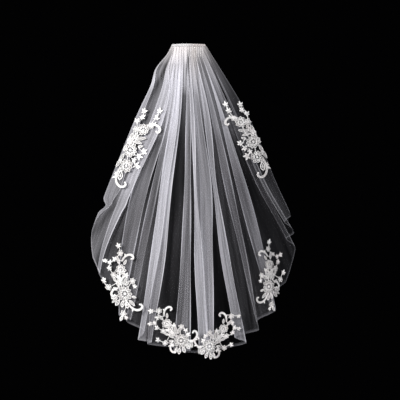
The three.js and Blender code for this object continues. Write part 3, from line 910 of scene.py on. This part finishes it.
def petals_round(solid, x, z, turn, count, inner, outer, fullness, blunt, base, rng):
    """Petals side by side round an eye, from an inner to an outer radius."""
    for k in range(count):
        angle = turn + 2 * math.pi * k / count + rng.uniform(-PETAL_STRAY, PETAL_STRAY)
        reach = outer * rng.uniform(*PETAL_LENGTHS)
        start = (x + inner * math.cos(angle), z + inner * math.sin(angle))
        width = 2 * math.pi * (inner + PETAL_BELLY * (reach - inner)) / count * fullness
        petal(solid, start, angle, reach - inner, width, blunt, base + PETAL_LIFT * (k % 2))


def rosette(solid, x, z, turn, size, rng):
    """A rose: a scalloped ring of petals, a ring of holes crossed by spokes, and a knotted eye."""
    petals, spokes = SMALL_COUNTS if size < LARGE_ROSETTE else LARGE_COUNTS
    petals_round(solid, x, z, turn, petals, size * PETAL_START, size, fullness=0.8, blunt=1.3,
                 base=0.9, rng=rng)
    cord(solid, ring(x, z, size * RING_SHARE, 24), radius=1.1, height=1.5, sides=5, closed=True)
    for k in range(spokes):
        angle = turn + 2 * math.pi * (k + SPOKE_SHIFT) / spokes
        spoke = [(x + size * share * math.cos(angle), z + size * share * math.sin(angle))
                 for share in SPOKE_SHARES]
        cord(solid, spoke, radius=0.7, height=1.4, sides=4)
    pad(solid, ring(x, z, size * EYE_SHARE, 10), height=1.0, base=1.0)
    for at in ring(x, z, size * EYE_KNOTS, 5):
        knot(solid, *at, radius=0.8, height=2.0)
    for at in ring(x, z, size * PETAL_KNOTS, petals):
        knot(solid, *at, radius=0.8, height=2.2)


def flower(solid, x, z, turn, size, rng):
    """A small flower of six pointed petals round an eye."""
    petals_round(solid, x, z, turn, 6, size * 0.2, size, fullness=0.72, blunt=0.85, base=0.5, rng=rng)
    knot(solid, x, z, radius=max(size * 0.14, 1.0), height=1.4)


def leaflet(solid, at, turn, length):
    """A small pointed leaf of satin stitch."""
    outline = moved(teardrop(length, length * LEAFLET_WIDTH, blunt=0.8, steps=6), at, turn)
    pad(solid, outline, height=1.5, base=0.2)
    cord(solid, outline, radius=0.45, height=1.0, sides=4, closed=True)


def tuft(solid, x, z, turn, size, rng):
    """Pointed leaves that open from one point, three ahead and two back."""
    for spread, length in TUFT_LEAVES:
        angle = turn + spread + rng.uniform(-TUFT_STRAY, TUFT_STRAY)
        start = (x + size * TUFT_START * math.cos(angle), z + size * TUFT_START * math.sin(angle))
        leaflet(solid, start, angle, size * length * rng.uniform(*TUFT_LENGTHS))
    knot(solid, x, z, radius=1.0, height=1.3)


def scroll_path(length, hand):
    """Middle line of a scroll: it starts along +X and curls tighter and tighter."""
    share = np.repeat(np.linspace(0, 1, SCROLL_STEPS), SCROLL_FINE)
    turning = hand * (SCROLL_TURNING[0] + SCROLL_TURNING[1] * share ** 2) / SCROLL_FINE
    step = (SCROLL_STRIDE[0] - SCROLL_STRIDE[1] * share) * length / len(share)
    heading = np.cumsum(turning) - turning / 2
    steps = np.column_stack([step * np.cos(heading), step * np.sin(heading)])
    return np.vstack([[0, 0], np.cumsum(steps, 0)])


def scroll(solid, start, turn, size):
    """A scroll, to the right for a size below 0: a satin band with corded edges and a ball."""
    hand = math.copysign(1, size)
    path = scroll_path(abs(size), hand)
    n = len(path)
    narrow, swell = SCROLL_WIDTH
    wide = narrow + swell * np.sin(np.pi * np.linspace(*SCROLL_SWELL, n))
    cord(solid, moved(path, start, turn), radius=wide, height=0.5, sides=7, flat=0.35)
    ahead = along(path)
    side = np.column_stack([-ahead[:, 1], ahead[:, 0]])
    for way in (-1, 1):
        beside = path + way * side * (wide[:, None] + 0.1)
        cord(solid, moved(beside[:-2], start, turn), radius=0.7, height=1.3, sides=5)
    ball, at = moved(path[[-1, n // 4]], start, turn)
    knot(solid, *ball, radius=3.0, height=0.9)
    leaflet(solid, at, turn - hand * 0.5, abs(size) * SCROLL_LEAF)


def stem(solid, flower_at, end, rng):
    """A thin stem from the rim of one motif to another."""
    x, z, size = flower_at
    gap = math.hypot(end[0] - x, end[1] - z)
    side = rng.uniform(-STEM_STRAY, STEM_STRAY) * gap
    turn = math.atan2(end[1] - z, end[0] - x)
    first = min(STEM_START * size / gap, STEM_START)
    path = [(gap * t, side * math.sin(math.pi * t)) for t in np.linspace(first, 1, 7)]
    cord(solid, moved(path, (x, z), turn), radius=1.0, height=0.8)


SINGLES = {"leaf": leaf, "bud": bud, "scroll": scroll}
FLOWERS = {"rosette": rosette, "flower": flower, "tuft": tuft}


def build_spray(name, rows, x, z, turn, wide, tall, seed):
    """One lace spray, laid on the folds of the veil."""
    rng = np.random.default_rng(seed)
    solid = Solid()
    flowers = []
    for kind, mx, mz, degrees, size in rows:
        angle = math.radians(degrees)
        near = sorted(flowers, key=lambda f: math.hypot(f[0] - mx, f[1] - mz))
        if near and math.hypot(near[0][0] - mx, near[0][1] - mz) > near[0][2] + STEM_LEAST:
            stem(solid, near[0], (mx, mz), rng)
        if kind in SINGLES:
            SINGLES[kind](solid, (mx, mz), angle, size)
        else:
            FLOWERS[kind](solid, mx, mz, angle, size, rng)
            flowers.append((mx, mz, size))
    flat = np.array(solid.points)
    pattern = (flat[:, 0] * wide, flat[:, 1] * tall)
    xs, zs = moved([pattern], (x, z), math.radians(turn))[0]
    points = np.column_stack([xs, seat_y(xs, zs) - flat[:, 2], zs])
    faces = solid.faces if wide < 0 else [face[::-1] for face in solid.faces]
    spray = mesh_object(name + "_relief", points, faces)
    store(spray, "rise", flat[:, 2])
    return spray


# Header and comb

def header_x(share, down):
    """X across the header, which flares as the fold lines start to spread."""
    ends = fold_line_x(np.array([0, LAST_LINE]), down)
    return float(ends[0] + (ends[1] - ends[0]) * share)


def header_point(across, down, side):
    """A point of the header's face: across and down are shares, and side is -1 for the front."""
    x = header_x(across, HEADER_HEIGHT * down)
    pleats = 2 * math.pi * HEADER_PLEATS * across
    ripple = PLEAT_DEPTH * math.sin(pleats + PLEAT_STRAY * math.sin(PLEAT_WAVES * across))
    pinch = 1 - PINCH_DEPTH * math.exp(-((down - PINCH_PLACE) / PINCH_REACH) ** 2)
    roundness = math.sqrt(math.sin(math.pi * (ROUND_START + ROUND_SHARE * down)))
    out = (HEADER_THICKNESS / 2 - PLEAT_ROOM) * pinch * roundness
    arch = -HEADER_ARCH * (2 * across - 1) ** 2
    return x, head_y(x) + side * (out + ripple), arch * (1 - down) - HEADER_HEIGHT * down


def build_header():
    """The band of gathers: fine pleats side by side, bent to the head, with an arched top."""
    columns = HEADER_PLEATS * STEPS_PER_PLEAT + 1
    places = [(c / (columns - 1), r / (HEADER_ROWS - 1))
              for r in range(HEADER_ROWS) for c in range(columns)]
    solid = Solid()
    front, back = (np.array(solid.grid([header_point(*place, side) for place in places],
                                       HEADER_ROWS, columns)) for side in (-1, 1))
    for edge in ((0,), (-1,), (slice(None), 0), (slice(None), -1)):
        solid.strip(front[edge].tolist(), back[edge].tolist())
    return mesh_object("header_gathers", solid.points, solid.faces)


def build_stitches():
    """Two rows of small running stitches that hold the gathers."""
    flat = Solid()
    for drop in STITCH_ROWS:
        for k in range(STITCH_COUNT):
            start = header_x((k + STITCH_START) / STITCH_COUNT, drop)
            end = header_x((k + STITCH_END) / STITCH_COUNT, drop)
            path = [(x, -drop) for x in np.linspace(start, end, len(STITCH_RADII))]
            cord(flat, path, STITCH_RADII, HEADER_THICKNESS / 2 - STITCH_OUT, sides=5)
    points = [(x, head_y(x) - out, z) for x, z, out in flat.points]
    return mesh_object("header_stitches", points, flat.faces)


def build_comb():
    """The comb behind the header: a rounded spine bent to the head and round tapered teeth."""
    solid = Solid()
    middle = HEADER_THICKNESS / 2 + PIECE_GAP + COMB_THICKNESS / 2
    section = np.array(ring(0, 0, 1, SPINE_SIDES))
    section = np.sign(section) * np.abs(section) ** SPINE_SQUARE
    points = []
    for k, x in enumerate(COMB_WIDTH * np.linspace(-0.5, 0.5, SPINE_STATIONS)):
        shrink = SPINE_ENDS[min(k, SPINE_STATIONS - 1 - k, len(SPINE_ENDS) - 1)]
        for dy, dz in section * (COMB_THICKNESS / 2, COMB_SPINE / 2) * shrink:
            points.append((x, head_y(x) + middle + dy, COMB_TOP - COMB_SPINE / 2 + dz))
    tube(solid, points, SPINE_STATIONS, SPINE_SIDES)
    for x in (COMB_WIDTH - COMB_TOOTH_WIDTH) * np.linspace(-0.5, 0.5, COMB_TEETH):
        y = head_y(x) + middle
        points = []
        for h in np.linspace(0, 1, TOOTH_ROWS):
            tip = math.sqrt(max(1 - max(h - TIP_START, 0) * TIP_FALL, TIP_LEAST))
            radius = COMB_TOOTH_WIDTH / 2 * (1 - TOOTH_TAPER * h) * tip
            z = COMB_TOP - TOOTH_SUNK - COMB_TOOTH_LENGTH * h
            points.extend((*at, z) for at in ring(x, y, radius, TOOTH_SIDES)[::-1])
        tube(solid, points, TOOTH_ROWS, TOOTH_SIDES)
    return mesh_object("comb_body", solid.points, solid.faces)


# Materials

class Nodes:
    """A short way to put shader nodes together."""

    def __init__(self, name, inputs):
        self.material = bpy.data.materials.new(name)
        self.material.use_nodes = True
        self.tree = self.material.node_tree
        self.shader = self.tree.nodes["Principled BSDF"]
        self.fill(self.shader, inputs)

    def fill(self, node, inputs):
        """Values, or the outputs of other nodes, for a node's inputs."""
        for key, value in inputs.items():
            if isinstance(value, bpy.types.NodeSocket):
                self.tree.links.new(value, node.inputs[key])
            else:
                node.inputs[key].default_value = value

    def put(self, kind, inputs, **settings):
        """A new node."""
        node = self.tree.nodes.new(kind)
        for key, value in settings.items():
            setattr(node, key, value)
        self.fill(node, inputs)
        return node

    def math(self, operation, *inputs):
        return self.put("ShaderNodeMath", dict(enumerate(inputs)), operation=operation).outputs[0]

    def place(self):
        """The place on the object."""
        return self.put("ShaderNodeTexCoord", {}).outputs["Object"]

    def attribute(self, name):
        return self.put("ShaderNodeAttribute", {}, attribute_name=name).outputs["Fac"]

    def noise(self, place, scale, detail):
        inputs = {"Vector": place, "Scale": scale, "Detail": detail}
        return self.put("ShaderNodeTexNoise", inputs).outputs["Fac"]

    def streaks(self, across, wide, down, long, detail):
        """Noise that is drawn out down the cloth."""
        inputs = {0: self.math("MULTIPLY", across, wide), 1: self.math("MULTIPLY", down, long)}
        return self.noise(self.put("ShaderNodeCombineXYZ", inputs).outputs[0], 1.0, detail)

    def around(self, noise, swing, middle=1.0):
        """Noise moved to vary about a middle."""
        return self.math("MULTIPLY_ADD", self.math("SUBTRACT", noise, 0.5), swing, middle)

    def mix(self, factor, low, high):
        """A colour between two, by a factor kept between 0 and 1."""
        inputs = {0: factor, 6: low, 7: high}
        return self.put("ShaderNodeMix", inputs, data_type="RGBA").outputs[2]

    def bump(self, height, strength, distance):
        """The shader's normal, bumped by a height."""
        inputs = {"Height": height, "Strength": strength, "Distance": distance}
        self.fill(self.shader, {"Normal": self.put("ShaderNodeBump", inputs).outputs[0]})


def tulle_material():
    """Sheer net: light goes through it, and less where it is pleated, creased or cut."""
    n = Nodes("tulle_net", {"Roughness": 0.7, "Sheen Weight": 0.3, "Specular IOR Level": 0.2})
    across = n.attribute("across")
    down = n.attribute("down")

    # broad and fine streaks of gathers that run down the cloth
    broad = n.around(n.streaks(across, 1.6, down, 0.0022, detail=2.0), swing=3.2)
    fine = n.around(n.streaks(across, 8.0, down, 0.003, detail=3.0), swing=3.0)
    streak = n.math("MAXIMUM", n.math("MULTIPLY", broad, fine), STREAK_LEAST)

    # the hexagonal net
    uv = n.put("ShaderNodeUVMap", {}, uv_map="cut").outputs[0]
    net = n.put("ShaderNodeTexVoronoi", {"Vector": uv, "Scale": NET_SCALE, "Randomness": 0.2},
                feature="DISTANCE_TO_EDGE")
    thread = n.math("LESS_THAN", net.outputs["Distance"], THREAD_WIDTH)
    thread = n.math("MULTIPLY_ADD", thread, THREAD_GAIN, THREAD_BASE)

    # creases come and go along their length
    density = n.math("MULTIPLY", n.attribute("net_density"), streak)
    fading = n.around(n.streaks(across, 0.9, down, 0.006, detail=2.0), swing=1.8)
    crease = n.math("MULTIPLY", n.attribute("crease"), n.math("MAXIMUM", fading, FADING_LEAST))
    density = n.math("MULTIPLY", density, thread)
    density = n.math("ADD", density, crease)
    density = n.math("ADD", density, n.attribute("edge"))
    through = n.math("EXPONENT", n.math("MULTIPLY", density, -1.0))

    # cool white, with a blush of beige under the header
    tint = n.mix(n.attribute("blush"), NET_WHITE, NET_BEIGE)
    n.fill(n.shader, {"Alpha": n.math("SUBTRACT", 1.0, through), "Base Color": tint})
    return n.material


def lace_material():
    """Corded lace: warm white thread, greyer deep between the cords as painted shade, and darker to
    the right and lower down as a tint and as painted shade, with satin ribs.
    """
    n = Nodes("corded_lace", {"Roughness": 0.62, "Sheen Weight": 0.25})
    place = n.place()
    x, _, z = n.put("ShaderNodeSeparateXYZ", {0: place}).outputs
    # a tint and painted shade: the lace is painted darker and warmer to the right and lower down
    lean = n.math("MULTIPLY_ADD", x, -LACE_SHADE_X, LACE_SHADE)
    lean = n.math("MULTIPLY_ADD", z, LACE_SHADE_Z, lean)
    shade = n.around(n.noise(place, 22.0, detail=3.0), 2.2, lean)
    thread = n.mix(shade, LACE_CREAM_AND_SHADE, LACE_WHITE)
    # painted shade: the lace turns grey where it lies low between the cords, and full white only
    # where it stands clear
    height = n.math("DIVIDE", n.attribute("rise"), LACE_SHADE_CLEAR)
    n.fill(n.shader, {"Base Color": n.mix(height, LACE_PAINTED_SHADE, thread)})
    ribs = n.put("ShaderNodeTexWave", {"Vector": place, "Scale": 900.0, "Distortion": 6.0,
                                       "Detail": 2.0}, bands_direction="DIAGONAL")
    n.bump(ribs.outputs["Fac"], strength=0.5, distance=0.0004)
    return n.material


def header_material():
    """Tightly gathered net, nearly solid, with fine streaks and a beige right half."""
    n = Nodes("gathered_net", {"Roughness": 0.8, "Sheen Weight": 0.3})
    place = n.place()
    x = n.put("ShaderNodeSeparateXYZ", {0: place}).outputs[0]
    side = n.math("MULTIPLY", n.math("ADD", x, BEIGE_START), BEIGE_RISE)
    n.fill(n.shader, {"Base Color": n.mix(side, HEADER_WHITE, HEADER_BEIGE)})
    stretch = n.put("ShaderNodeVectorMath", {0: place, 1: HEADER_STRETCH}, operation="MULTIPLY")
    n.bump(n.noise(stretch.outputs[0], 1600.0, detail=2.0), strength=0.6, distance=0.0003)
    return n.material


def thread_material():
    """Spun sewing thread."""
    n = Nodes("sewing_thread", {"Roughness": 0.55})
    twist = n.put("ShaderNodeTexWave", {"Vector": n.place(), "Scale": 1500.0},
                  bands_direction="DIAGONAL")
    n.fill(n.shader, {"Base Color": n.mix(twist.outputs["Fac"], THREAD_BEIGE, THREAD_WHITE)})
    return n.material


def comb_material():
    """Smooth pale plastic with faint clouds and small scuffs."""
    n = Nodes("comb_plastic", {"Coat Weight": 0.3})
    place = n.place()
    cloud = n.mix(n.noise(place, 60.0, detail=3.0), COMB_DARK, COMB_PALE)
    scuff = n.math("MULTIPLY_ADD", n.noise(place, 900.0, detail=2.0), COMB_SCUFF, COMB_ROUGHNESS)
    n.fill(n.shader, {"Base Color": cloud, "Roughness": scuff})
    return n.material


def floor_material():
    """A plain pale floor."""
    n = Nodes("pale_floor", {"Roughness": 0.9})
    grain = n.noise(n.place(), 12.0, detail=3.0)
    n.fill(n.shader, {"Base Color": n.mix(grain, FLOOR_DARK, FLOOR_PALE)})
    return n.material


# Camera, light and floor

def aim(obj, target):
    """Points an object's -Z at a place."""
    obj.rotation_euler = (Vector(target) - obj.location).to_track_quat("-Z", "Y").to_euler()


def build_camera():
    """The photograph's view: level with the veil's middle and far in front of it."""
    camera = new_object("view_camera", bpy.data.cameras.new("view_camera"))
    x, z = VIEW_CENTRE[0] * MM, VIEW_CENTRE[1] * MM
    camera.location = (x, -VIEW_DISTANCE, z)
    camera.data.sensor_width = SENSOR
    camera.data.lens = SENSOR * VIEW_DISTANCE / (VIEW_WIDTH * MM)
    aim(camera, (x, 0, z))
    bpy.context.scene.camera = camera


def area_light(name, place, target, size, power, colour=(1, 1, 1)):
    """A soft square light."""
    light = bpy.data.lights.new(name, "AREA")
    light.size = size
    light.energy = power
    light.color = colour
    obj = new_object(name, light)
    obj.location = place
    aim(obj, target)


def build_stage():
    """Studio light in a dark room, and a pale round floor below the veil."""
    world = bpy.data.worlds.new("dim_room")
    bpy.context.scene.world = world
    world.use_nodes = True
    world.node_tree.nodes["Background"].inputs["Color"].default_value = ROOM_COLOUR
    for light in LIGHTS:
        area_light(*light)
    rim = [(x, y, FLOOR_Z) for x, y in ring(0, FLOOR_Y, FLOOR_RADIUS, FLOOR_SIDES)]
    floor = mesh_object("pale_floor_disc", rim, [tuple(range(FLOOR_SIDES))], smooth=False)
    floor.data.materials.append(floor_material())


# The whole veil

def dress(piece, material, slot, *nodes):
    """Gives a piece its material and its body, and hides the CAD nodes that it stands for."""
    piece.data.materials.append(material)
    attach(piece, "root")
    if nodes:
        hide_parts(*nodes)
    return piece


build_camera()
build_stage()

cloth = dress(build_cloth(), tulle_material(), "tulle", "tulle_veil")
dress(build_header(), header_material(), "header_band", "gathered_header")
dress(build_stitches(), thread_material(), "header_band")
dress(build_comb(), comb_material(), "comb", "hair_comb")
thread_lace = lace_material()
sprays = [dress(build_spray(*row, seed), thread_lace, "lace", row[0])
          for seed, row in enumerate(SPRAYS)]

scene = bpy.context.scene
scene.view_settings.view_transform = "Standard"
scene.cycles.max_bounces = 24
scene.cycles.transparent_max_bounces = 96
